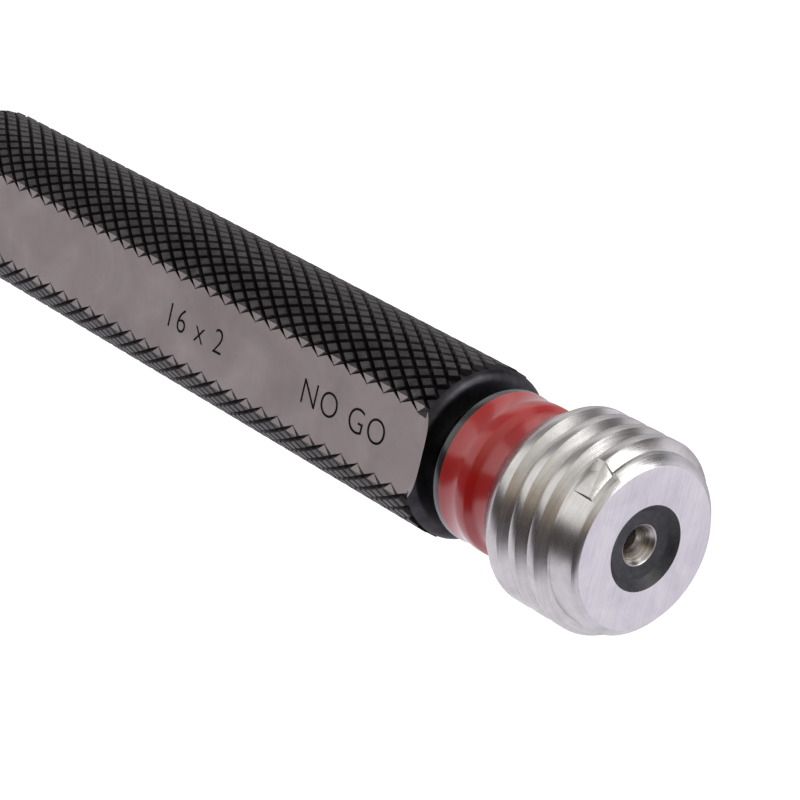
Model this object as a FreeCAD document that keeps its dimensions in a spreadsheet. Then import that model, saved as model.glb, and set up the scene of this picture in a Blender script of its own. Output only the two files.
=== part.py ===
import FreeCAD, Part
import Sketcher
import math
import os
import re

from FreeCAD import Placement, Rotation, Vector

# Double-ended thread plug gauge, M16 x 2: a knurled handle with a GO member in one end and a
# NO GO member in the other. It stands on the flat end of its GO member. The origin is the centre
# of that face, +Z runs up the axis to the NO GO end, and the handle's marking flat faces -Y.
# Millimetres and degrees.

NODE_FOLDER = "parts"

# ---------------------------------------------------------------------------
# Driving sizes: alias, value, meaning
# ---------------------------------------------------------------------------
SIZES = [
    ("thread_dia", 16.0, "nominal diameter of the gauged thread"),
    ("thread_pitch", 2.0, "pitch of both threads"),
    ("flank_angle", 60.0, "included angle of the thread groove, degrees"),
    ("ridge_root", 0.08, "depth to which a ridge is rooted in its core"),
    ("go_allowance", 0.009, "GO pitch diameter above the basic one"),
    ("go_groove_depth", 1.20, "radial depth of the GO thread's groove"),
    ("go_thread_length", 18.0, "end face to rear rim of the GO thread"),
    ("go_start_angle", 60.0, "turn of the GO thread's start, degrees"),
    ("nogo_allowance", 0.219, "NO GO pitch diameter above the basic one"),
    ("nogo_ridge_height", 0.20, "truncated NO GO crest above the pitch line"),
    ("nogo_groove_depth", 0.83, "radial depth of the NO GO thread's groove"),
    ("nogo_thread_length", 9.78, "end face to rear rim of the NO GO thread"),
    ("nogo_start_angle", 141.5, "turn of the NO GO thread's start, degrees"),
    ("lead_chamfer", 0.70, "45 degree chamfer from the end face to the thread root"),
    ("start_offset", 1.75, "end face to the middle of the first full ridge"),
    ("cleared_length", 2.2, "length cleared in front of the blunt start"),
    ("cleared_depth", 0.40, "depth of that clearing at the end face"),
    ("cleared_sweep", 110.0, "turn over which the partial ridge is cleared, degrees"),
    ("rear_land", 0.35, "plain land between the last groove and the rear chamfer"),
    ("rear_angle", 32.5, "slope of the rear chamfer against the axis, degrees"),
    ("rear_rim_dia", 13.06, "diameter of the rear rim of a thread"),
    ("undercut_depth", 0.55, "floor of the undercut below the collar's surface"),
    ("undercut_width", 2.45, "rear rim to the foot of the collar's slope"),
    ("undercut_fillet", 0.50, "fillet at the foot of the collar's slope"),
    ("collar_dia", 12.0, "collar between the undercut and the shank"),
    ("collar_length", 3.62, "cylindrical length of the collar"),
    ("collar_edge", 0.20, "chamfer at the back of the collar"),
    ("waist_depth", 0.12, "depth of the shallow hollow round the collar"),
    ("waist_length", 1.90, "axial width of that hollow"),
    ("waist_setback", 0.85, "back of the collar to the hollow"),
    ("recess_dia", 6.46, "mouth of the sunk rest in an end face"),
    ("recess_floor_dia", 5.30, "floor of the sunk rest"),
    ("recess_depth", 0.65, "depth of the sunk rest"),
    ("centre_dia", 3.08, "mouth of the centre hole"),
    ("centre_angle", 60.0, "included angle of the centre hole, degrees"),
    ("pilot_dia", 1.55, "pilot drilling of the centre hole"),
    ("pilot_depth", 2.6, "length of the pilot drilling past its cone"),
    ("drill_angle", 118.0, "point angle of the pilot drill, degrees"),
    ("shank_dia", 8.0, "large end of a taper shank"),
    ("shank_taper", 50.0, "axial length for one unit of taper on diameter"),
    ("shank_length", 16.0, "length of a taper shank"),
    ("shank_chamfer", 0.5, "chamfer at the small end of a shank"),
    ("handle_gap", 1.66, "back of a collar to the handle's end face"),
    ("handle_dia", 13.72, "outside diameter over the knurl"),
    ("handle_length", 70.0, "length of the handle"),
    ("handle_edge", 1.02, "rounding of the handle's ends"),
    ("flat_height", 5.84, "axis to the marking flat"),
    ("socket_clearance", 0.01, "radial allowance between shank and socket"),
    ("socket_end_gap", 1.5, "free depth past the small end of a shank"),
    ("socket_chamfer", 0.4, "chamfer at the mouth of a socket"),
    ("drift_dia", 5.0, "bore that joins the two sockets"),
]

# Sizes that follow from the driving ones, each after those it reads
DERIVED = [
    ("basic_pitch_dia", "thread_dia - 3 / 8 * thread_pitch / tan(flank_angle / 2)"),
    ("go_crest_dia", "thread_dia"),
    ("go_pitch_dia", "basic_pitch_dia + go_allowance"),
    ("go_root_dia", "go_crest_dia - 2 * go_groove_depth"),
    ("nogo_pitch_dia", "basic_pitch_dia + nogo_allowance"),
    ("nogo_crest_dia", "nogo_pitch_dia + 2 * nogo_ridge_height"),
    ("nogo_root_dia", "nogo_crest_dia - 2 * nogo_groove_depth"),
    ("undercut_dia", "collar_dia - 2 * undercut_depth"),
    ("member_back", "undercut_width + undercut_depth + collar_length"),
    ("go_length", "go_thread_length + member_back"),
    ("nogo_length", "nogo_thread_length + member_back"),
    ("handle_bottom", "go_length + handle_gap"),
    ("handle_top", "handle_bottom + handle_length"),
    ("gauge_height", "handle_top + handle_gap + nogo_length"),
    ("shank_end_radius", "(shank_dia - shank_length / shank_taper) / 2"),
    ("mouth_radius", "(shank_dia - handle_gap / shank_taper) / 2 + socket_clearance"),
    ("socket_depth", "shank_length - handle_gap + socket_end_gap"),
    ("socket_end_radius", "mouth_radius - socket_depth / shank_taper / 2"),
]

doc = FreeCAD.newDocument("thread_plug_gauge")
sheet = doc.addObject("Spreadsheet::Sheet", "Sizes")
for row, (alias, number, meaning) in enumerate(SIZES, start=1):
    sheet.set("A%d" % row, str(number))
    sheet.setAlias("A%d" % row, alias)
    sheet.set("B%d" % row, meaning)
for row, (alias, formula) in enumerate(DERIVED, start=len(SIZES) + 2):
    sheet.set("A%d" % row, "=" + formula)
    sheet.setAlias("A%d" % row, alias)
    doc.recompute()

ALIASES = {entry[0] for entry in SIZES + DERIVED}


def bound(formula):
    """The same formula with each size named as a cell of the sheet."""
    return re.sub(r"[a-z_]+", lambda m: "Sizes." + m.group() if m.group() in ALIASES else m.group(), formula)


def value(formula):
    """What a formula gives with the sizes as they are now."""
    result = sheet.evalExpression(bound(formula))
    return float(getattr(result, "Value", result))


# ---------------------------------------------------------------------------
# Sketching and turning
# ---------------------------------------------------------------------------
def sketch_on(body, name, role):
    """An empty sketch on one of the body's own origin planes."""
    sketch = body.newObject("Sketcher::SketchObject", name)
    plane = next(item for item in body.Origin.OriginFeatures if item.Role == role)
    sketch.AttachmentSupport = [(plane, "")]
    sketch.MapMode = "FlatFace"
    return sketch


def drive(sketch, kind, geometry, point, formula):
    """Tie one coordinate of a point to a formula of the sheet."""
    size = value(formula)
    if abs(size) < 1e-9:
        axis = -2 if kind == "DistanceX" else -1
        sketch.addConstraint(Sketcher.Constraint("PointOnObject", geometry, point, axis))
        return
    index = sketch.addConstraint(Sketcher.Constraint(kind, -1, 1, geometry, point, size))
    sketch.setExpression("Constraints[%d]" % index, bound(formula))


def outline(body, name, corners, role="XZ_Plane"):
    """A closed outline of straight lines through (across, up) formulas."""
    sketch = sketch_on(body, name, role)
    points = [Vector(value(across), value(up), 0) for across, up in corners]
    count = len(points)
    for i in range(count):
        sketch.addGeometry(Part.LineSegment(points[i], points[(i + 1) % count]), False)
    for i in range(count):
        sketch.addConstraint(Sketcher.Constraint("Coincident", i, 2, (i + 1) % count, 1))
    for i, (across, up) in enumerate(corners):
        drive(sketch, "DistanceX", i, 1, across)
        drive(sketch, "DistanceY", i, 1, up)
    return sketch


def turned(body, kind, name, sketch, angle="360"):
    """Revolve or groove a half section about the body's axis."""
    feature = body.newObject("PartDesign::" + kind, name)
    feature.Profile = sketch
    feature.ReferenceAxis = (sketch, ["V_Axis"])
    feature.setExpression("Angle", bound(angle))
    return feature


def turn_sketch(sketch, angle):
    """Turn a half section about the body's axis."""
    sketch.AttachmentOffset = Placement(Vector(), Rotation(Vector(0, 1, 0), value(angle)))
    sketch.setExpression("AttachmentOffset.Rotation.Angle", bound(angle))


def round_edges(body, name, base, radius, wanted):
    """Fillet the circular edges that lie at the wanted (radius, height) formulas."""
    doc.recompute()
    places = [(value(across), value(up)) for across, up in wanted]
    picked = []
    for number, edge in enumerate(base.Shape.Edges, start=1):
        if not isinstance(edge.Curve, Part.Circle) or abs(edge.Curve.Axis.z) < 0.999:
            continue
        for across, up in places:
            if abs(edge.Curve.Radius - across) < 1e-4 and abs(edge.Curve.Center.z - up) < 1e-4:
                picked.append("Edge%d" % number)
    fillet = body.newObject("PartDesign::Fillet", name)
    fillet.Base = (base, sorted(set(picked)))
    fillet.setExpression("Radius", bound(radius))
    return fillet


def new_body(label, turned_over=False, height="0"):
    """An empty body standing on the axis at a height, upside down where asked."""
    body = doc.addObject("PartDesign::Body", label)
    body.Label = label
    turn = Rotation(Vector(1, 0, 0), 180) if turned_over else Rotation()
    body.Placement = Placement(Vector(0, 0, value(height)), turn)
    if height != "0":
        body.setExpression("Placement.Base.z", bound(height))
    return body


# ---------------------------------------------------------------------------
# Gauging members, each drawn from its end face (height 0) towards its shank
# ---------------------------------------------------------------------------
def gauging_member(label, prefix, turned_over, height):
    """One turned member: threaded head, undercut, collar and taper shank."""
    crest = "%s_crest_dia / 2" % prefix
    pitch = "%s_pitch_dia / 2" % prefix
    root = "%s_root_dia / 2" % prefix
    head = "%s_thread_length" % prefix
    start = "%s_start_angle" % prefix
    body = new_body(label, turned_over, height)

    # Blank: core with its lead chamfer, full collar at the rear, undercut, collar and shank
    slant = "tan(rear_angle)"
    rear_edge = "(%s - (%s - rear_rim_dia / 2) / %s)" % (head, crest, slant)
    land = "(%s - rear_land)" % rear_edge
    foot = "(%s + undercut_width)" % head
    shoulder = "(%s + undercut_depth)" % foot
    back = "(%s + member_back)" % head
    tip = "(%s + shank_length)" % back
    blank = outline(body, prefix + "_blank_section", [
        ("0", "0"),
        ("%s - lead_chamfer" % root, "0"),
        (root, "lead_chamfer"),
        (root, land),
        (crest, land),
        (crest, head),
        ("undercut_dia / 2", head),
        ("undercut_dia / 2", foot),
        ("collar_dia / 2", shoulder),
        ("collar_dia / 2", back + " - collar_edge"),
        ("collar_dia / 2 - collar_edge", back),
        ("shank_dia / 2", back),
        ("shank_end_radius + shank_chamfer / shank_taper / 2", tip + " - shank_chamfer"),
        ("shank_end_radius - shank_chamfer", tip),
        ("0", tip),
    ])
    turned(body, "Revolution", prefix + "_blank", blank)
    doc.recompute()

    # Ridge: a 60 degree section wound from its blunt start into the rear collar
    def half_width(radius):
        return "(thread_pitch / 4 + (%s - (%s)) * tan(flank_angle / 2))" % (pitch, radius)

    inside = "%s - ridge_root" % root
    front = "(start_offset - %s)" % half_width(root)
    ridge_section = outline(body, prefix + "_ridge_section", [
        (inside, "start_offset - " + half_width(inside)),
        (crest, "start_offset - " + half_width(crest)),
        (crest, "start_offset + " + half_width(crest)),
        (inside, "start_offset + " + half_width(inside)),
    ])
    turn_sketch(ridge_section, start)
    ridge = body.newObject("PartDesign::AdditiveHelix", prefix + "_ridge")
    ridge.Profile = ridge_section
    ridge.ReferenceAxis = (ridge_section, ["V_Axis"])
    ridge.Mode = "pitch-height-angle"
    ridge.Pitch = value("thread_pitch")
    ridge.Height = value("%s - %s" % (land, front))
    ridge.setExpression("Pitch", bound("thread_pitch * 1mm"))
    ridge.setExpression("Height", bound("(%s - %s) * 1mm" % (land, front)))
    ridge.Angle = 0
    ridge.Growth = 0
    ridge.LeftHanded = False
    ridge.Reversed = False
    doc.recompute()

    # Rear chamfer, cut across the end of the ridge
    beyond = "(%s + 1)" % crest
    chamfer = outline(body, prefix + "_rear_section", [
        ("rear_rim_dia / 2", head),
        (beyond, head),
        (beyond, "%s - 1 / %s" % (rear_edge, slant)),
    ])
    turned(body, "Groove", prefix + "_rear_chamfer", chamfer)

    # Clearing in front of the blunt start, where the thin partial ridge would be
    cleared = outline(body, prefix + "_cleared_section", [
        (root + " - cleared_depth", "0"),
        (root + " + 0.5", "0"),
        (root + " + 0.5", "cleared_length"),
        (root, "cleared_length"),
    ])
    turn_sketch(cleared, start)
    clearing = turned(body, "Groove", prefix + "_cleared_start", cleared, "cleared_sweep")
    clearing.Reversed = True

    # Shallow hollow round the collar, as a circular arc on its chord
    hollow = sketch_on(body, prefix + "_hollow_section", "XZ_Plane")
    high = "(%s - waist_setback)" % back
    low = "(%s - waist_length)" % high
    bend = "(((waist_length / 2) ^ 2 + waist_depth ^ 2) / (2 * waist_depth))"
    middle = Vector(value("collar_dia / 2 - waist_depth + " + bend), value("(%s + %s) / 2" % (low, high)), 0)
    reach = math.asin(value("waist_length / 2") / value(bend))
    ring = Part.Circle(middle, Vector(0, 0, 1), value(bend))
    hollow.addGeometry(Part.ArcOfCircle(ring, math.pi - reach, math.pi + reach), False)
    ends = [Vector(value("collar_dia / 2"), value(up), 0) for up in (low, high)]
    hollow.addGeometry(Part.LineSegment(ends[0], ends[1]), False)
    hollow.addConstraint(Sketcher.Constraint("Coincident", 0, 2, 1, 1))
    hollow.addConstraint(Sketcher.Constraint("Coincident", 0, 1, 1, 2))
    for point, up in ((1, low), (2, high)):
        drive(hollow, "DistanceX", 1, point, "collar_dia / 2")
        drive(hollow, "DistanceY", 1, point, up)
    index = hollow.addConstraint(Sketcher.Constraint("Radius", 0, value(bend)))
    hollow.setExpression("Constraints[%d]" % index, bound(bend))
    turned(body, "Groove", prefix + "_hollow", hollow)

    # Sunk rest and centre hole in the end face
    cone = "tan(centre_angle / 2)"
    floor = "recess_depth"
    neck = "(recess_depth + (centre_dia - pilot_dia) / 2 / %s)" % cone
    deep = "(%s + pilot_depth)" % neck
    centre = outline(body, prefix + "_centre_section", [
        ("0", "0"),
        ("recess_dia / 2", "0"),
        ("recess_floor_dia / 2", floor),
        ("centre_dia / 2", floor),
        ("pilot_dia / 2", neck),
        ("pilot_dia / 2", deep),
        ("0", "%s + pilot_dia / 2 / tan(drill_angle / 2)" % deep),
    ])
    turned(body, "Groove", prefix + "_centre_hole", centre)

    # Rounded foot of the collar's slope
    round_edges(body, prefix + "_foot_fillet", body.Tip, "undercut_fillet",
                [("undercut_dia / 2", foot)])
    return body


# ---------------------------------------------------------------------------
# Handle, drawn from its lower end face
# ---------------------------------------------------------------------------
def build_handle():
    """Round bar with rounded ends, a marking flat, two taper sockets and a drift bore."""
    body = new_body("handle", height="handle_bottom")
    bar = outline(body, "handle_section", [
        ("drift_dia / 2", "0"),
        ("handle_dia / 2", "0"),
        ("handle_dia / 2", "handle_length"),
        ("drift_dia / 2", "handle_length"),
    ])
    turned(body, "Revolution", "handle_bar", bar)

    for end, level, way in (("lower", "0", "+"), ("upper", "handle_length", "-")):
        socket = outline(body, end + "_socket_section", [
            ("0", level),
            ("mouth_radius", level),
            ("socket_end_radius", "%s %s socket_depth" % (level, way)),
            ("0", "%s %s socket_depth" % (level, way)),
        ])
        turned(body, "Groove", end + "_socket", socket)
        mouth = outline(body, end + "_mouth_section", [
            ("0", level),
            ("mouth_radius + socket_chamfer", level),
            ("mouth_radius - socket_chamfer / shank_taper", "%s %s socket_chamfer" % (level, way)),
            ("0", "%s %s socket_chamfer" % (level, way)),
        ])
        turned(body, "Groove", end + "_mouth", mouth)

    rounded = round_edges(body, "end_rounding", body.Tip, "handle_edge",
                          [("handle_dia / 2", "0"), ("handle_dia / 2", "handle_length")])

    flat = outline(body, "flat_section", [
        ("-handle_dia / 2", "-handle_dia / 2"),
        ("handle_dia / 2", "-handle_dia / 2"),
        ("handle_dia / 2", "-flat_height"),
        ("-handle_dia / 2", "-flat_height"),
    ], "XY_Plane")
    marking_flat = body.newObject("PartDesign::Pocket", "marking_flat")
    marking_flat.Profile = flat
    marking_flat.Type = "Length"
    marking_flat.Reversed = True
    marking_flat.setExpression("Length", bound("handle_length * 1mm"))
    return body


handle = build_handle()
go_member = gauging_member("go_member", "go", False, "0")
nogo_member = gauging_member("nogo_member", "nogo", True, "gauge_height")
doc.recompute()

# ---------------------------------------------------------------------------
# Checks and export
# ---------------------------------------------------------------------------
for item in doc.Objects:
    for state in item.State:
        if state in ("Invalid", "Error"):
            raise RuntimeError("%s is %s" % (item.Name, state))

os.makedirs(NODE_FOLDER, exist_ok=True)
for body in (handle, go_member, nogo_member):
    shape = body.Shape
    if shape.isNull() or not shape.isValid() or len(shape.Solids) != 1:
        raise RuntimeError("%s has no single valid solid" % body.Label)
    shape.exportStep(os.path.join(NODE_FOLDER, body.Label + ".step"))
    print(body.Label, "volume %.2f mm3" % shape.Volume, "box", shape.BoundBox)
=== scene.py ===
import math

import bmesh
import bpy
import numpy as np
from mathutils import Matrix, Vector


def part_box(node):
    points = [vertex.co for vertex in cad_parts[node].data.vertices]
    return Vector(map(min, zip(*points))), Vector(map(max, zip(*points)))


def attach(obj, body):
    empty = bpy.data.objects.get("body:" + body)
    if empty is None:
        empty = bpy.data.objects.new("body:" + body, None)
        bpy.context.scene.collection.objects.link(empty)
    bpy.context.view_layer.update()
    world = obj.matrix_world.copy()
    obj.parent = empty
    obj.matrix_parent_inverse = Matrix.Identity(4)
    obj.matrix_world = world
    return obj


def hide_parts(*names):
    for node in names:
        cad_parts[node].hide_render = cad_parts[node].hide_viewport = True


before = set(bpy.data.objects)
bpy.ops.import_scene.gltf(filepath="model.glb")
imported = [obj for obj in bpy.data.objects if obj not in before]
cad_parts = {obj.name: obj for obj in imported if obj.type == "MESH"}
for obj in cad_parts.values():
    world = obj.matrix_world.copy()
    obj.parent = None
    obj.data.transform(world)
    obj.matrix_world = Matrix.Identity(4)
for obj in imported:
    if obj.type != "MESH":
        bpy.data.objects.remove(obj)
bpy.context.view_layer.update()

MM = 0.001

# ---------------------------------------------------------------------------
# Sizes read from the frame, in millimetres
# ---------------------------------------------------------------------------
GAUGE_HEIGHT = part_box("nogo_member")[1][2] / MM
HANDLE_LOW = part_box("handle")[0][2] / MM
HANDLE_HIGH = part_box("handle")[1][2] / MM
HANDLE_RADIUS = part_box("handle")[1][0] / MM
FLAT_HEIGHT = -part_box("handle")[0][1] / MM
GO_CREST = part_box("go_member")[1][0] / MM
NOGO_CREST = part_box("nogo_member")[1][0] / MM
GO_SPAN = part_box("go_member")[1][2] / MM
NOGO_SPAN = GAUGE_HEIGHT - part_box("nogo_member")[0][2] / MM

# ---------------------------------------------------------------------------
# Turned members, drawn from the end face (height 0) towards the shank
# ---------------------------------------------------------------------------
PITCH = 2.0
FLANK = math.radians(30.0)
LEAD_CHAMFER = 0.70
START_OFFSET = 1.75
START_RAMP_FRONT = 21.0
START_RAMP_REAR = 5.0
CLEARED_LENGTH = 2.2
CLEARED_DEPTH = 0.40
CLEARED_SWEEP = 110.0
CLEARED_FADE = 14.0
REAR_LAND = 0.35
REAR_ANGLE = math.radians(32.5)
REAR_RIM = 6.53
UNDERCUT = 5.45
UNDERCUT_WIDTH = 2.45
COLLAR = 6.0
COLLAR_LENGTH = 3.62
WAIST_DEPTH = 0.12
WAIST_LENGTH = 1.90
WAIST_SETBACK = 0.85
COLLAR_EDGE = 0.20
RECESS = 3.23
RECESS_FLOOR = 2.65
RECESS_DEPTH = 0.65
CENTRE = 1.54
PILOT = 0.775
PILOT_DEPTH = 2.6
SHANK = 4.0
SHANK_TAPER = 50.0
SHANK_EDGE = 0.5
CENTRE_HALF_ANGLE = math.radians(30)
DRILL_HALF_ANGLE = math.radians(59)
CREST_SOFT = 0.045
ROOT_SOFT = 0.05
ROW_GAP = 0.02
STACK_GAP = 0.001
# Fillets of the undercut, as steps (along, out) from its corner at the rim and at the 45 degree step
RIM_FILLET = ((0.0, 0.35), (0.10, 0.10), (0.35, 0.0))
STEP_FILLET = ((-0.30, 0.0), (-0.07, 0.05), (0.18, 0.19))

GO = {"crest": GO_CREST, "pitch_radius": 7.355, "root": 6.80, "head": 18.0, "start": 60.0,
      "span": GO_SPAN, "columns": 480}
NOGO = {"crest": NOGO_CREST, "pitch_radius": 7.46, "root": 6.83, "head": 9.78, "start": 141.5,
        "span": NOGO_SPAN, "columns": 720}


def half_width(member, radius):
    """Half the axial width of a ridge at a radius."""
    return PITCH / 4 + (member["pitch_radius"] - radius) * math.tan(FLANK)


def profile(member, turn):
    """The half section of a member at a turn (degrees past the thread's start).

    Returns its points as (height, radius, edge softening, finish), and the places in that list of
    the first ridge point, the kink after the ramp and the rear land."""
    crest, root, head, span = member["crest"], member["root"], member["head"], member["span"]
    rear_edge = head - (crest - REAR_RIM) / math.tan(REAR_ANGLE)
    land = rear_edge - REAR_LAND
    foot = head + UNDERCUT_WIDTH
    shoulder = foot + COLLAR - UNDERCUT
    back = shoulder + COLLAR_LENGTH
    neck = RECESS_DEPTH + (CENTRE - PILOT) / math.tan(CENTRE_HALF_ANGLE)
    deep = neck + PILOT_DEPTH

    # How far the start of the thread is cleared away at this turn
    into = turn - (360.0 - CLEARED_SWEEP)
    cleared = min(1.0, max(0.0, into / CLEARED_FADE + 0.5))

    def core(height):
        """Radius between the ridges, lower where the thread's start is cleared."""
        drop = cleared * CLEARED_DEPTH * max(0.0, 1.0 - height / CLEARED_LENGTH)
        return root - drop

    slope = cleared * CLEARED_DEPTH / CLEARED_LENGTH
    nose = (LEAD_CHAMFER - cleared * CLEARED_DEPTH) / (1.0 - slope)

    points = [
        (deep + PILOT / math.tan(DRILL_HALF_ANGLE), 0.0, 0.0, "bore"),
        (deep, PILOT, 0.02, "bore"),
        (neck, PILOT, 0.05, "bore"),
        (RECESS_DEPTH, CENTRE, 0.04, "recess"),
        (RECESS_DEPTH, RECESS_FLOOR, 0.10, "recess"),
        (0.0, RECESS, 0.03, "face"),
        (0.0, root - LEAD_CHAMFER, 0.04, "turned"),
        (nose, core(nose), 0.04, "thread"),
    ]

    first = len(points)

    # Ridges; the one numbered -1 is the ramp that leads up to the thread's start
    turns = int(math.ceil((land + half_width(member, root) - START_OFFSET) / PITCH)) + 1
    base = half_width(member, root)
    ridges = []
    for number in range(-1, turns):
        centre = START_OFFSET + PITCH * (turn / 360.0 + number)
        front = rear = crest
        if number == -1:
            front_share = max(0.0, (turn - 360.0 + START_RAMP_FRONT) / START_RAMP_FRONT)
            rear_share = max(0.0, (turn - 360.0 + START_RAMP_REAR) / START_RAMP_REAR)
            front = root + (crest - root) * front_share
            rear = root + (crest - root) * rear_share
        ridges.append([
            (centre - base, root),
            (centre - half_width(member, front), front),
            (centre + half_width(member, rear), rear),
            (centre + base, root),
        ])

    def over(height):
        """Radius of core and ridges at a height."""
        radius = core(height)
        for ridge in ridges[1:]:
            for (t0, r0), (t1, r1) in zip(ridge, ridge[1:]):
                if t0 <= height <= t1 and t1 > t0:
                    radius = max(radius, r0 + (r1 - r0) * (height - t0) / (t1 - t0))
        return radius

    first_base = ridges[1][0][0]
    ramp_foot = ridges[0][3][0] + ROW_GAP if turn > 330 else 0.0
    kink = min(max(CLEARED_LENGTH, ramp_foot), first_base - 0.03)
    gap = min(ROW_GAP, (kink - nose) / 6.0)
    for order, (height, radius) in enumerate(ridges[0]):
        low = nose + gap * (order + 1)
        high = kink - gap * (4 - order)
        height = min(max(height, low), high)
        points.append((height, max(radius if radius > root else 0.0, core(height)), 0.02, "thread"))
    kink_place = len(points)
    points.append((kink, core(kink), 0.02, "thread"))

    crossing = over(land)
    beyond = [p for ridge in ridges[1:] for p in ridge]
    for order, (height, radius) in enumerate(beyond):
        if height >= land:
            height, radius = land - STACK_GAP * (len(beyond) - order), crossing
        soft = CREST_SOFT if radius > root + 0.2 else ROOT_SOFT
        points.append((height, radius, soft, "thread"))

    land_place = len(points)

    waist_back = back - WAIST_SETBACK
    bend = ((WAIST_LENGTH / 2) ** 2 + WAIST_DEPTH ** 2) / (2 * WAIST_DEPTH)
    points += [
        (land, crossing, 0.03, "thread"),
        (land, crest, 0.03, "thread"),
        (rear_edge, crest, 0.05, "turned"),
        (head, REAR_RIM, 0.06, "red"),
    ]
    points += [(head + along, UNDERCUT + out, 0.0, "red") for along, out in RIM_FILLET]
    points += [(foot + along, UNDERCUT + out, 0.0, "red") for along, out in STEP_FILLET]
    points += [
        (shoulder, COLLAR, 0.10, "red"),
        (waist_back - WAIST_LENGTH, COLLAR, 0.05, "red"),
    ]
    for quarter in range(-3, 4):
        offset = quarter / 4 * WAIST_LENGTH / 2
        depth = math.sqrt(bend ** 2 - offset ** 2) - (bend - WAIST_DEPTH)
        points.append((waist_back - WAIST_LENGTH / 2 + offset, COLLAR - depth, 0.0, "red"))
    points += [
        (waist_back, COLLAR, 0.02, "black"),
        (back - COLLAR_EDGE, COLLAR, 0.05, "black"),
        (back, COLLAR - COLLAR_EDGE, 0.05, "black"),
        (back, SHANK, 0.05, "turned"),
        (span - SHANK_EDGE, SHANK - (span - back - SHANK_EDGE) / SHANK_TAPER / 2, 0.0, "turned"),
        (span, SHANK - (span - back) / SHANK_TAPER / 2 - SHANK_EDGE, 0.0, "turned"),
        (span, 0.0, 0.0, "turned"),
    ]
    return points, (first, kink_place, land_place)


def soften(points):
    """Each corner becomes two points a little way along its two sides."""
    out = []
    count = len(points)
    for i, (t, r, soft, finish) in enumerate(points):
        if i in (0, count - 1) or soft == 0.0:
            out.append((t, r, finish))
            out.append((t, r, finish))
            continue
        for other, name in ((points[i - 1], points[i - 1][3]), (points[i + 1], finish)):
            dt, dr = other[0] - t, other[1] - r
            length = math.hypot(dt, dr)
            share = min(soft, length / 3) / length if length > 1e-9 else 0.0
            out.append((t + dt * share, r + dr * share, name))
    return out


FINISHES = ["bore", "recess", "face", "turned", "thread", "red", "black"]
RIDGE_ROWS = 8


def member_faces(columns, rows, places, plain, finish_of):
    """Faces of the grid and their finishes. At the seam, ridge n of the last section meets n + 1."""
    faces, finishes = [], []
    first, joint, land = 2 * places[0], 2 * (places[1] + 1), 2 * places[2]
    last, head = columns - 1, 0

    def at(column, row):
        return column * rows + row

    def quad(left, right, row, ahead, finish):
        faces.append((at(left, row), at(right, ahead), at(right, ahead + 1), at(left, row + 1)))
        finishes.append(finish)

    def patch(corners):
        faces.append(corners)
        finishes.append("thread")

    for column in range(columns - 1):
        for row in range(rows - 1):
            if row not in plain:
                quad(column, column + 1, row, row, finish_of[row])
    for row in range(first - 1):
        if row not in plain:
            quad(last, head, row, row, finish_of[row])
    front = [at(head, row) for row in range(first - 1, joint + 1)]
    patch([at(last, first - 1)] + front + [at(last, first)])
    for row in range(first, first + RIDGE_ROWS - 1):
        quad(last, head, row, joint + row - first, "thread")
    ramp_end = first + RIDGE_ROWS - 1
    behind = [at(last, row) for row in range(joint, ramp_end - 1, -1) if row != ramp_end]
    patch([at(last, ramp_end), at(head, joint + 7), at(head, joint + RIDGE_ROWS)] + behind)
    for row in range(joint, land - RIDGE_ROWS - 1):
        quad(last, head, row, row + RIDGE_ROWS, "thread")
    last_ridge = [at(last, row) for row in range(land, land - RIDGE_ROWS - 1, -1)]
    patch([at(last, land - RIDGE_ROWS - 1), at(head, land - 1), at(head, land)] + last_ridge)
    for row in range(land, rows - 1):
        if row not in plain:
            quad(last, head, row, row, finish_of[row])
    return faces, finishes


def turned_member(name, member, materials, upside_down):
    """The whole member as one mesh, a grid of half sections round the axis."""
    columns = member["columns"]
    sections = []
    for column in range(columns):
        section, places = profile(member, 360.0 * column / columns)
        sections.append(soften(section))
    rows = len(sections[0])
    heights = np.array([[p[0] for p in s] for s in sections])
    radii = np.array([[p[1] for p in s] for s in sections])
    angles = np.radians(member["start"] + 360.0 * np.arange(columns) / columns)[:, None]
    x = radii * np.cos(angles)
    y = radii * np.sin(angles)
    z = heights
    if upside_down:
        y, z = -y, GAUGE_HEIGHT - z
    verts = np.stack([x, y, z], axis=-1).reshape(-1, 3) * MM

    # Points without softening are doubled, so the rows between the pair have no faces
    samples = sections[:: columns // 8]
    plain = {row for row in range(0, rows, 2) if all(s[row][:2] == s[row + 1][:2] for s in samples)}
    finish_of = [p[2] for p in sections[0]]
    faces, finishes = member_faces(columns, rows, places, plain, finish_of)

    mesh = bpy.data.meshes.new(name)
    mesh.from_pydata(verts.tolist(), [], [tuple(f) for f in faces])
    used = bpy.data.objects.new(name, mesh)
    bpy.context.collection.objects.link(used)
    for finish in FINISHES:
        mesh.materials.append(materials[finish])
    mesh.polygons.foreach_set("material_index", [FINISHES.index(f) for f in finishes])
    work = bmesh.new()
    work.from_mesh(mesh)
    bmesh.ops.remove_doubles(work, verts=work.verts, dist=1e-8)
    bmesh.ops.dissolve_degenerate(work, edges=work.edges, dist=1e-9)
    bmesh.ops.recalc_face_normals(work, faces=work.faces)
    for face in work.faces:
        face.smooth = True
    work.to_mesh(mesh)
    work.free()
    weighted = used.modifiers.new("weighted normals", "WEIGHTED_NORMAL")
    weighted.mode = "FACE_AREA"
    weighted.weight = 80
    weighted.keep_sharp = True
    return used


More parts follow.
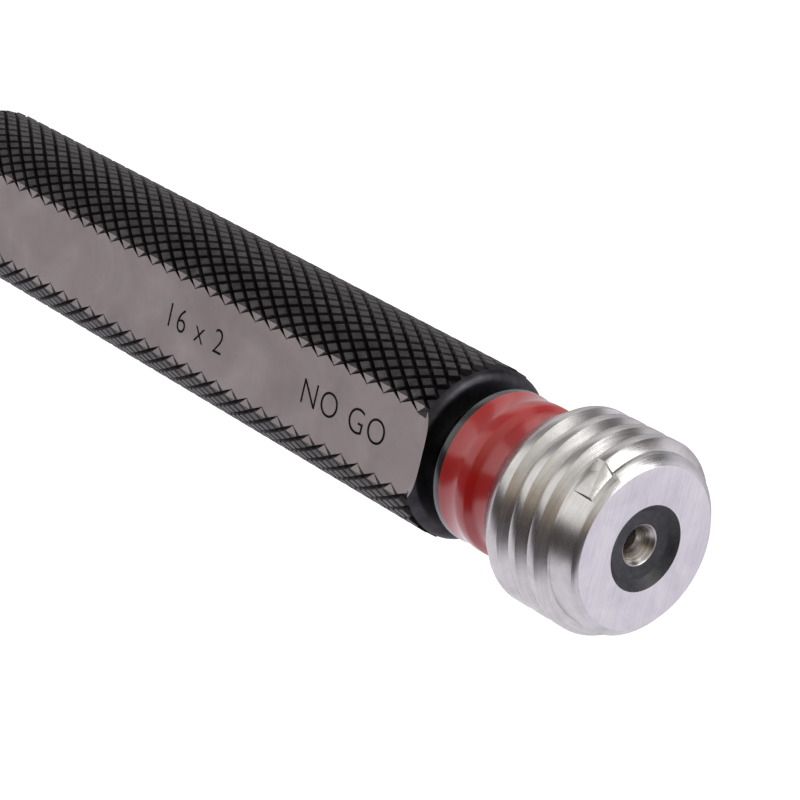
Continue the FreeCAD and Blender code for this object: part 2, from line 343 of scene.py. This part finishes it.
# ---------------------------------------------------------------------------
# Handle: a diamond-knurled bar, trimmed to the handle's solid
# ---------------------------------------------------------------------------
KNURL_TEETH = 37
KNURL_RISE = 2.04
KNURL_DEPTH = 0.36
KNURL_TOP = 0.60
KNURL_INSET = 0.50
KNURL_EXTRA = 0.05
KNURL_LOW = HANDLE_LOW + KNURL_INSET
KNURL_HIGH = HANDLE_HIGH - KNURL_INSET
TRIM_SPARE = 1.0
PLAIN_END = 1.15
BORE_ZONE = 5.0
CREASE_ANGLE = math.radians(24)


def knurled_sleeve():
    """Truncated pyramids in rows round the axis, a little proud of the handle and open at both ends."""
    rows = 2 * int(round((KNURL_HIGH - KNURL_LOW) / KNURL_RISE))
    step = (KNURL_HIGH - KNURL_LOW) / rows
    top = HANDLE_RADIUS + KNURL_EXTRA
    floor = HANDLE_RADIUS - KNURL_DEPTH
    work = bmesh.new()
    cache = {}

    def vertex(u, v, radius):
        """The one vertex at a place on the developed surface."""
        key = (round(u * 1000) % (2000 * KNURL_TEETH), round(v * 1000), round(radius * 1000))
        if key not in cache:
            angle = math.pi * u / KNURL_TEETH
            cache[key] = work.verts.new((radius * MM * math.cos(angle), radius * MM * math.sin(angle),
                                         (KNURL_LOW + v * step) * MM))
        return cache[key]

    # u counts half teeth round the bar and v half rows along it
    for v in range(0, rows + 1):
        for tooth in range(KNURL_TEETH):
            u = 2 * tooth + (v % 2)
            corners = [(u + 1, v), (u, v + 1), (u - 1, v), (u, v - 1)]
            inner = [(u + (a - u) * KNURL_TOP, v + (b - v) * KNURL_TOP) for a, b in corners]
            outer_ring = [vertex(a, b, floor) if -1 < b < rows + 1 else None for a, b in corners]
            if None in outer_ring:
                continue
            inner_ring = [vertex(a, b, top) for a, b in inner]
            work.faces.new(inner_ring)
            for k in range(4):
                work.faces.new((outer_ring[k], outer_ring[(k + 1) % 4],
                                inner_ring[(k + 1) % 4], inner_ring[k]))
    # Half diamonds close the first and last rows
    for v, out in ((0, 1), (rows, -1)):
        for tooth in range(KNURL_TEETH):
            u = 2 * tooth
            left, right = vertex(u - 1, v, floor), vertex(u + 1, v, floor)
            tip = vertex(u, v + out, floor)
            work.faces.new((left, tip, right) if out == -1 else (left, right, tip))
    return work


def build_handle(knurl):
    """The sleeve with both ends closed past the handle, then cut back to the handle's solid."""
    work = knurled_sleeve()
    bmesh.ops.recalc_face_normals(work, faces=work.faces)
    # Plain ends: the open edges are drawn out past the handle and closed
    for z, beyond in ((KNURL_LOW, HANDLE_LOW - TRIM_SPARE), (KNURL_HIGH, HANDLE_HIGH + TRIM_SPARE)):
        edges = [e for e in work.edges if e.is_boundary
                 and abs(sum(v.co.z for v in e.verts) / 2 - z * MM) < 0.4 * MM]
        ring = bmesh.ops.extrude_edge_only(work, edges=edges)["geom"]
        new = [v for v in ring if isinstance(v, bmesh.types.BMVert)]
        for v in new:
            grow = (HANDLE_RADIUS + TRIM_SPARE) * MM / math.hypot(v.co.x, v.co.y)
            v.co.x *= grow
            v.co.y *= grow
        edges = [e for e in ring if isinstance(e, bmesh.types.BMEdge)]
        ring = bmesh.ops.extrude_edge_only(work, edges=edges)["geom"]
        for v in ring:
            if isinstance(v, bmesh.types.BMVert):
                v.co.z = beyond * MM
        edges = [e for e in ring if isinstance(e, bmesh.types.BMEdge)]
        bmesh.ops.contextual_create(work, geom=edges)
    bmesh.ops.recalc_face_normals(work, faces=work.faces)
    mesh = bpy.data.meshes.new("handle_body")
    work.to_mesh(mesh)
    work.free()
    used = bpy.data.objects.new("handle_body", mesh)
    bpy.context.collection.objects.link(used)
    mesh.materials.append(knurl)
    trim = used.modifiers.new("trim", "BOOLEAN")
    trim.operation = "INTERSECT"
    trim.solver = "EXACT"
    trim.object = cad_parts["handle"]
    bpy.context.view_layer.update()
    trimmed = bpy.data.meshes.new_from_object(used.evaluated_get(bpy.context.evaluated_depsgraph_get()))
    used.modifiers.clear()
    used.data = trimmed
    trimmed.name = "handle_body"
    return used


def dress_handle(mesh, knurl, plain, flat):
    """Finishes by place: the flat, the plain ends and sockets, and the knurl on the rest."""
    mesh.materials.clear()
    for material in (knurl, plain, flat):
        mesh.materials.append(material)
    for polygon in mesh.polygons:
        middle = polygon.center / MM
        near_end = min(middle.z - HANDLE_LOW, HANDLE_HIGH - middle.z)
        if polygon.normal.y < -0.999 and abs(middle.y + FLAT_HEIGHT) < 0.02:
            polygon.material_index = 2
        elif near_end < PLAIN_END or math.hypot(middle.x, middle.y) < BORE_ZONE:
            polygon.material_index = 1
        else:
            polygon.material_index = 0
    if mesh.attributes.get("custom_normal"):
        mesh.attributes.remove(mesh.attributes["custom_normal"])
    for polygon in mesh.polygons:
        polygon.use_smooth = polygon.material_index != 2 and len(polygon.vertices) <= 8
    mesh.set_sharp_from_angle(angle=CREASE_ANGLE)


# ---------------------------------------------------------------------------
# Node helpers
# ---------------------------------------------------------------------------
class Nodes:
    """Short spelling for building a material's nodes."""

    def __init__(self, tree):
        self.tree = tree
        tree.nodes.clear()

    def add(self, kind, **settings):
        node = self.tree.nodes.new(kind)
        for key, value in settings.items():
            setattr(node, key, value)
        return node

    def link(self, source, target):
        self.tree.links.new(source, target)

    def math(self, operation, a, b=None, clamp=False):
        node = self.add("ShaderNodeMath", operation=operation, use_clamp=clamp)
        for socket, value in zip(node.inputs, (a, b)):
            if value is None:
                continue
            if isinstance(value, (int, float)):
                socket.default_value = value
            else:
                self.link(value, socket)
        return node.outputs[0]

    def noise(self, vector, scale, detail=2.0, rough=0.5, distortion=0.0):
        node = self.add("ShaderNodeTexNoise")
        node.inputs["Scale"].default_value = scale
        node.inputs["Detail"].default_value = detail
        node.inputs["Roughness"].default_value = rough
        node.inputs["Distortion"].default_value = distortion
        self.link(vector, node.inputs["Vector"])
        return node.outputs["Fac"]

    def stretched(self, source, scale, turn=(0.0, 0.0, 0.0)):
        node = self.add("ShaderNodeMapping")
        node.inputs["Scale"].default_value = scale
        node.inputs["Rotation"].default_value = [math.radians(a) for a in turn]
        self.link(source, node.inputs["Vector"])
        return node.outputs["Vector"]

    def ramp(self, source, stops, interpolation="LINEAR"):
        node = self.add("ShaderNodeValToRGB")
        node.color_ramp.interpolation = interpolation
        elements = node.color_ramp.elements
        while len(elements) < len(stops):
            elements.new(0.5)
        for element, (position, colour) in zip(elements, stops):
            element.position = position
            element.color = (*colour, 1.0) if len(colour) == 3 else colour
        self.link(source, node.inputs["Fac"])
        return node.outputs["Color"]

    def grey_ramp(self, source, stops):
        return self.ramp(source, [(p, (v, v, v)) for p, v in stops])

    def mix(self, share, a, b, blend="MIX"):
        node = self.add("ShaderNodeMix", data_type="RGBA", blend_type=blend)
        for socket, value in ((node.inputs[0], share), (node.inputs[6], a), (node.inputs[7], b)):
            if isinstance(value, (int, float)):
                socket.default_value = value
            elif isinstance(value, tuple):
                socket.default_value = (*value, 1.0)
            else:
                self.link(value, socket)
        return node.outputs[2]

    def bump(self, height, strength, distance, normal=None):
        node = self.add("ShaderNodeBump")
        node.inputs["Strength"].default_value = strength
        node.inputs["Distance"].default_value = distance
        self.link(height, node.inputs["Height"])
        if normal is not None:
            self.link(normal, node.inputs["Normal"])
        return node.outputs["Normal"]


def new_material(name, **constants):
    """A Principled material; constants go straight onto its sockets."""
    material = bpy.data.materials.new(name)
    material.use_nodes = True
    nodes = Nodes(material.node_tree)
    shader = nodes.add("ShaderNodeBsdfPrincipled")
    output = nodes.add("ShaderNodeOutputMaterial")
    nodes.link(shader.outputs[0], output.inputs["Surface"])
    for socket, value in constants.items():
        shader.inputs[socket.replace("_", " ")].default_value = value
    place = nodes.add("ShaderNodeTexCoord").outputs["Object"]
    return material, nodes, shader, place


# ---------------------------------------------------------------------------
# Materials
# ---------------------------------------------------------------------------
def ground_steel(name, light, dark, rough, lines, scratches):
    """Steel ground round the axis: fine lines along the circumference, faint tints and scratches."""
    material, nodes, shader, place = new_material(name, Metallic=1.0)
    along = nodes.stretched(place, (60.0, 60.0, 9000.0))
    fine = nodes.noise(along, 1.0, 4.0, 0.65)
    broad = nodes.noise(nodes.stretched(place, (160.0, 160.0, 900.0)), 1.0, 3.0, 0.6)
    patch = nodes.noise(place, 420.0, 4.0, 0.6, 0.6)
    specks = nodes.noise(place, 5200.0, 2.0, 0.6)
    tint = nodes.ramp(patch, [(0.30, dark), (0.62, light)])
    streak = nodes.grey_ramp(fine, [(0.25, 0.80), (0.75, 1.0)])
    colour = nodes.mix(1.0, tint, streak, "MULTIPLY")
    nodes.link(colour, shader.inputs["Base Color"])
    roughness = nodes.math("ADD", nodes.math("MULTIPLY", broad, 0.16), rough - 0.08)
    roughness = nodes.math("ADD", roughness, nodes.math("MULTIPLY", fine, 0.06))
    nodes.link(roughness, shader.inputs["Roughness"])
    normal = nodes.bump(fine, lines, 0.00002)
    normal = nodes.bump(specks, scratches, 0.00001, normal)
    nodes.link(normal, shader.inputs["Normal"])
    return material


def lapped_face():
    """The end face: a matt lapped finish with scratches every way."""
    material, nodes, shader, place = new_material("lapped_face", Metallic=1.0)
    cloud = nodes.noise(place, 330.0, 4.0, 0.6, 0.8)
    fine = nodes.noise(place, 6000.0, 3.0, 0.7)
    colour = nodes.ramp(cloud, [(0.28, (0.66, 0.635, 0.68)), (0.5, (0.74, 0.715, 0.755)),
                                (0.72, (0.80, 0.775, 0.80))])
    scratches = None
    for turn, scale in ((18.0, (250.0, 9000.0, 250.0)), (76.0, (300.0, 11000.0, 300.0)),
                        (141.0, (220.0, 8000.0, 220.0))):
        lines = nodes.noise(nodes.stretched(place, scale, (0.0, 0.0, turn)), 1.0, 3.0, 0.7)
        lines = nodes.grey_ramp(lines, [(0.36, 0.0), (0.50, 1.0)])
        scratches = lines if scratches is None else nodes.mix(1.0, scratches, lines, "MULTIPLY")
    colour = nodes.mix(0.10, colour, scratches, "MULTIPLY")
    nodes.link(colour, shader.inputs["Base Color"])
    roughness = nodes.math("ADD", nodes.math("MULTIPLY", fine, 0.16), 0.27)
    nodes.link(roughness, shader.inputs["Roughness"])
    normal = nodes.bump(scratches, 0.25, 0.00001)
    normal = nodes.bump(fine, 0.35, 0.00001, normal)
    nodes.link(normal, shader.inputs["Normal"])
    return material


def bore_steel():
    """The centre hole: bright, with tool marks in rings."""
    material, nodes, shader, place = new_material("bore_steel", Metallic=1.0)
    rings = nodes.noise(nodes.stretched(place, (90.0, 90.0, 7000.0)), 1.0, 3.0, 0.6)
    colour = nodes.ramp(rings, [(0.3, (0.30, 0.28, 0.27)), (0.7, (0.62, 0.59, 0.56))])
    nodes.link(colour, shader.inputs["Base Color"])
    nodes.link(nodes.math("ADD", nodes.math("MULTIPLY", rings, 0.2), 0.18), shader.inputs["Roughness"])
    nodes.link(nodes.bump(rings, 0.5, 0.00003), shader.inputs["Normal"])
    return material


def recess_black():
    """The sunk rest, blackened and slightly dusty."""
    material, nodes, shader, place = new_material("recess_black", Specular_IOR_Level=0.45)
    dust = nodes.noise(place, 2600.0, 4.0, 0.7)
    turning = nodes.noise(nodes.stretched(place, (900.0, 900.0, 900.0)), 1.0, 3.0, 0.6)
    colour = nodes.ramp(dust, [(0.35, (0.012, 0.012, 0.015)), (0.62, (0.030, 0.030, 0.036)),
                               (0.75, (0.075, 0.075, 0.085))])
    nodes.link(colour, shader.inputs["Base Color"])
    nodes.link(nodes.math("ADD", nodes.math("MULTIPLY", turning, 0.25), 0.30), shader.inputs["Roughness"])
    nodes.link(nodes.bump(dust, 0.25, 0.00002), shader.inputs["Normal"])
    return material


def lacquer(name, deep, pale, rough, coat):
    """Brushed-on lacquer over turned steel: glossy, with soft waves and brush lines round the axis."""
    material, nodes, shader, place = new_material(name, Coat_Weight=coat, Coat_Roughness=0.06,
                                                  Specular_IOR_Level=0.5)
    waves = nodes.noise(place, 240.0, 3.0, 0.5, 0.5)
    brush = nodes.noise(nodes.stretched(place, (110.0, 110.0, 2600.0)), 1.0, 3.0, 0.6)
    specks = nodes.noise(place, 4200.0, 2.0, 0.5)
    colour = nodes.ramp(waves, [(0.3, deep), (0.7, pale)])
    nodes.link(colour, shader.inputs["Base Color"])
    nodes.link(nodes.math("ADD", nodes.math("MULTIPLY", brush, 0.15), rough), shader.inputs["Roughness"])
    normal = nodes.bump(waves, 0.12, 0.00012)
    normal = nodes.bump(brush, 0.06, 0.00003, normal)
    nodes.link(nodes.bump(specks, 0.08, 0.00002, normal), shader.inputs["Normal"])
    nodes.link(normal, shader.inputs["Coat Normal"])
    return material


def black_oxide(name, dark, worn, rough):
    """Black oxide on steel: dark and satin, oily, a little worn in random patches."""
    material, nodes, shader, place = new_material(name, Metallic=1.0)
    mottle = nodes.noise(place, 900.0, 4.0, 0.65)
    grain = nodes.noise(place, 7000.0, 3.0, 0.6)
    colour = nodes.ramp(mottle, [(0.35, dark), (0.70, worn)])
    nodes.link(colour, shader.inputs["Base Color"])
    nodes.link(nodes.math("ADD", nodes.math("MULTIPLY", grain, 0.18), rough), shader.inputs["Roughness"])
    nodes.link(nodes.bump(grain, 0.22, 0.00002), shader.inputs["Normal"])
    return material


def flat_steel():
    """The marking flat: milled satin, pinkish where the oxide is thin."""
    material, nodes, shader, place = new_material("flat_steel", Metallic=0.35)
    cloud = nodes.noise(place, 170.0, 4.0, 0.6, 0.7)
    grain = nodes.noise(place, 8000.0, 3.0, 0.7)
    specks = nodes.noise(place, 2300.0, 2.0, 0.7)
    tint = nodes.ramp(cloud, [(0.30, (0.44, 0.385, 0.40)), (0.52, (0.52, 0.46, 0.47)),
                              (0.72, (0.60, 0.54, 0.55))])
    spots = nodes.grey_ramp(specks, [(0.22, 0.70), (0.34, 1.0)])
    colour = nodes.mix(0.6, tint, spots, "MULTIPLY")
    nodes.link(colour, shader.inputs["Base Color"])
    nodes.link(nodes.math("ADD", nodes.math("MULTIPLY", grain, 0.14), 0.36), shader.inputs["Roughness"])
    nodes.link(nodes.bump(grain, 0.30, 0.00001), shader.inputs["Normal"])
    return material


# ---------------------------------------------------------------------------
# Build the pieces
# ---------------------------------------------------------------------------
member_materials = {
    "thread": ground_steel("thread_steel", (0.80, 0.785, 0.78), (0.64, 0.62, 0.61), 0.24, 0.35, 0.20),
    "turned": ground_steel("turned_steel", (0.76, 0.75, 0.76), (0.62, 0.61, 0.62), 0.24, 0.45, 0.20),
    "face": lapped_face(),
    "bore": bore_steel(),
    "recess": recess_black(),
    "red": lacquer("red_lacquer", (0.42, 0.0015, 0.001), (0.50, 0.003, 0.002), 0.25, 1.0),
    "black": lacquer("black_lacquer", (0.008, 0.010, 0.010), (0.014, 0.017, 0.017), 0.20, 0.6),
}
go_materials = dict(member_materials, red=member_materials["turned"], black=member_materials["turned"])

nogo_body = turned_member("nogo_body", NOGO, member_materials, True)
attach(nogo_body, "root")
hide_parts("nogo_member")

go_body = turned_member("go_body", GO, go_materials, False)
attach(go_body, "root")
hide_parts("go_member")

knurl_oxide = black_oxide("knurl_oxide", (0.050, 0.046, 0.048), (0.115, 0.108, 0.110), 0.34)
plain_oxide = black_oxide("plain_oxide", (0.035, 0.033, 0.037), (0.065, 0.062, 0.070), 0.28)
marking_flat = flat_steel()
handle_body = build_handle(knurl_oxide)
dress_handle(handle_body.data, knurl_oxide, plain_oxide, marking_flat)
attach(handle_body, "root")
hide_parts("handle")

# ---------------------------------------------------------------------------
# Marking: thin dark strokes on the flat, read along the handle
# ---------------------------------------------------------------------------
LETTER_SIZE = 2.9
LETTER_BASELINE = 1.0
LETTER_DEPTH = 0.02
LETTER_PROUD = 0.006


def marking(name, words, height, align, material):
    """One line of thin dark solids, sunk in the flat and hardly proud of it, aligned at a height."""
    curve = bpy.data.curves.new(name, "FONT")
    curve.body = words
    curve.size = LETTER_SIZE * MM
    curve.space_character = 1.1
    curve.align_x = align
    curve.resolution_u = 6
    curve.extrude = (LETTER_DEPTH + LETTER_PROUD) / 2 * MM
    curve.offset = -0.035 * MM
    source = bpy.data.objects.new(name + "_outline", curve)
    bpy.context.collection.objects.link(source)
    bpy.context.view_layer.update()
    mesh = bpy.data.meshes.new_from_object(source.evaluated_get(bpy.context.evaluated_depsgraph_get()))
    bpy.data.objects.remove(source)
    bpy.data.curves.remove(curve)
    along, across, outward = Vector((0, 0, 1)), Vector((-1, 0, 0)), Vector((0, -1, 0))
    place = Matrix((along, across, outward)).transposed().to_4x4()
    middle = FLAT_HEIGHT + (LETTER_PROUD - LETTER_DEPTH) / 2
    place.translation = Vector((LETTER_BASELINE, -middle, height)) * MM
    mesh.transform(place)
    mesh.name = name
    mesh.materials.clear()
    mesh.materials.append(material)
    used = bpy.data.objects.new(name, mesh)
    bpy.context.collection.objects.link(used)
    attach(used, "root")
    return used


etched = black_oxide("etched_strokes", (0.012, 0.011, 0.012), (0.030, 0.027, 0.028), 0.55)
marking("marking_nogo", "NO GO", HANDLE_HIGH - 4.2, "RIGHT", etched)
marking("marking_size", "16 x 2", (HANDLE_LOW + HANDLE_HIGH) / 2 + 6.0, "CENTER", etched)
marking("marking_go", "GO", HANDLE_LOW + 4.2, "LEFT", etched)

# ---------------------------------------------------------------------------
# Camera
# ---------------------------------------------------------------------------
CAMERA_PLACE = Vector((-60.40, -153.32, GAUGE_HEIGHT + 139.23)) * MM
CAMERA_RIGHT = Vector((-0.22581, 0.75696, 0.61320))
CAMERA_DOWN = Vector((0.94049, 0.00531, 0.33975))
CAMERA_FORWARD = Vector((0.25392, 0.65343, -0.71313))

camera_data = bpy.data.cameras.new("camera")
camera_data.sensor_width = 36.0
camera_data.lens = 139.44
camera_data.clip_start = 0.01
camera_data.clip_end = 20.0
camera = bpy.data.objects.new("camera", camera_data)
bpy.context.collection.objects.link(camera)
turn = Matrix((CAMERA_RIGHT, -CAMERA_DOWN, -CAMERA_FORWARD)).transposed()
camera.matrix_world = Matrix.Translation(CAMERA_PLACE) @ turn.to_4x4()
bpy.context.scene.camera = camera

# ---------------------------------------------------------------------------
# Studio: soft light and dark panels in reflections, a pale floor and one soft lamp
# ---------------------------------------------------------------------------
PANEL_AZIMUTH = math.radians(-111.2)


def build_world():
    world = bpy.data.worlds.new("studio")
    bpy.context.scene.world = world
    world.use_nodes = True
    nodes = Nodes(world.node_tree)
    direction = nodes.add("ShaderNodeTexCoord").outputs["Generated"]
    turned = nodes.add("ShaderNodeVectorRotate", rotation_type="Z_AXIS")
    turned.inputs["Angle"].default_value = -PANEL_AZIMUTH
    nodes.link(direction, turned.inputs["Vector"])
    parts = nodes.add("ShaderNodeSeparateXYZ")
    nodes.link(turned.outputs["Vector"], parts.inputs[0])
    azimuth = nodes.math("ARCTAN2", parts.outputs["Y"], parts.outputs["X"])
    round_share = nodes.math("ADD", nodes.math("DIVIDE", azimuth, 2 * math.pi), 0.5)
    height = nodes.math("ADD", nodes.math("MULTIPLY", parts.outputs["Z"], 0.5), 0.5)

    def degrees(stops):
        return [((angle + 180.0) / 360.0, colour) for angle, colour in stops]

    white, lavender = (1.0, 0.99, 0.97), (0.86, 0.83, 0.90)
    dark = (0.07, 0.06, 0.06)
    low = nodes.ramp(round_share, degrees([
        (-180, (0.55, 0.54, 0.57)), (-112, (0.50, 0.49, 0.50)), (-98, (0.80, 0.79, 0.78)),
        (-78, (0.80, 0.79, 0.78)), (-66, (0.28, 0.27, 0.27)), (-40, (0.34, 0.33, 0.33)),
        (-28, white), (10, white), (22, dark), (50, dark), (66, lavender), (180, (0.85, 0.83, 0.88))]),
        "EASE")
    high = nodes.ramp(round_share, degrees([
        (-180, lavender), (-128, lavender), (-116, dark), (-100, dark), (-88, (0.80, 0.79, 0.78)),
        (-20, (0.66, 0.64, 0.60)), (8, (0.40, 0.33, 0.25)), (26, dark), (66, dark), (84, lavender),
        (180, lavender)]), "EASE")
    share = nodes.grey_ramp(height, [(0.42, 0.0), (0.60, 1.0)])
    studio = nodes.mix(share, low, high)

    rays = nodes.add("ShaderNodeLightPath")
    seen = nodes.add("ShaderNodeBackground")
    seen.inputs["Color"].default_value = (1.0, 1.0, 1.0, 1.0)
    lit = nodes.add("ShaderNodeBackground")
    nodes.link(studio, lit.inputs["Color"])
    mixer = nodes.add("ShaderNodeMixShader")
    nodes.link(rays.outputs["Is Camera Ray"], mixer.inputs[0])
    nodes.link(lit.outputs[0], mixer.inputs[1])
    nodes.link(seen.outputs[0], mixer.inputs[2])
    output = nodes.add("ShaderNodeOutputWorld")
    nodes.link(mixer.outputs[0], output.inputs["Surface"])


def build_floor():
    mesh = bpy.data.meshes.new("floor")
    reach = 6.0
    mesh.from_pydata([(-reach, -reach, 0), (reach, -reach, 0), (reach, reach, 0), (-reach, reach, 0)],
                     [], [(0, 1, 2, 3)])
    floor = bpy.data.objects.new("floor", mesh)
    bpy.context.collection.objects.link(floor)
    material = bpy.data.materials.new("floor_white")
    material.use_nodes = True
    nodes = Nodes(material.node_tree)
    rays = nodes.add("ShaderNodeLightPath")
    matt = nodes.add("ShaderNodeBsdfDiffuse")
    matt.inputs["Color"].default_value = (0.90, 0.90, 0.90, 1.0)
    glow = nodes.add("ShaderNodeEmission")
    nodes.link(nodes.math("MULTIPLY", rays.outputs["Is Camera Ray"], 0.45), glow.inputs["Strength"])
    both = nodes.add("ShaderNodeAddShader")
    nodes.link(matt.outputs[0], both.inputs[0])
    nodes.link(glow.outputs[0], both.inputs[1])
    output = nodes.add("ShaderNodeOutputMaterial")
    nodes.link(both.outputs[0], output.inputs["Surface"])
    mesh.materials.append(material)
    floor.visible_glossy = False


def soft_lamp(name, place, target, size, power):
    data = bpy.data.lights.new(name, "AREA")
    data.shape = "RECTANGLE"
    data.size, data.size_y = size
    data.energy = power
    lamp = bpy.data.objects.new(name, data)
    bpy.context.collection.objects.link(lamp)
    lamp.location = place
    lamp.rotation_euler = (Vector(target) - Vector(place)).to_track_quat("-Z", "Y").to_euler()
    lamp.visible_camera = False
    return lamp


build_world()
build_floor()
soft_lamp("key_lamp", (-0.55, 0.25, 0.85), (0, 0, 0.06), (0.5, 0.5), 3.0)

bpy.context.scene.view_settings.view_transform = "Standard"
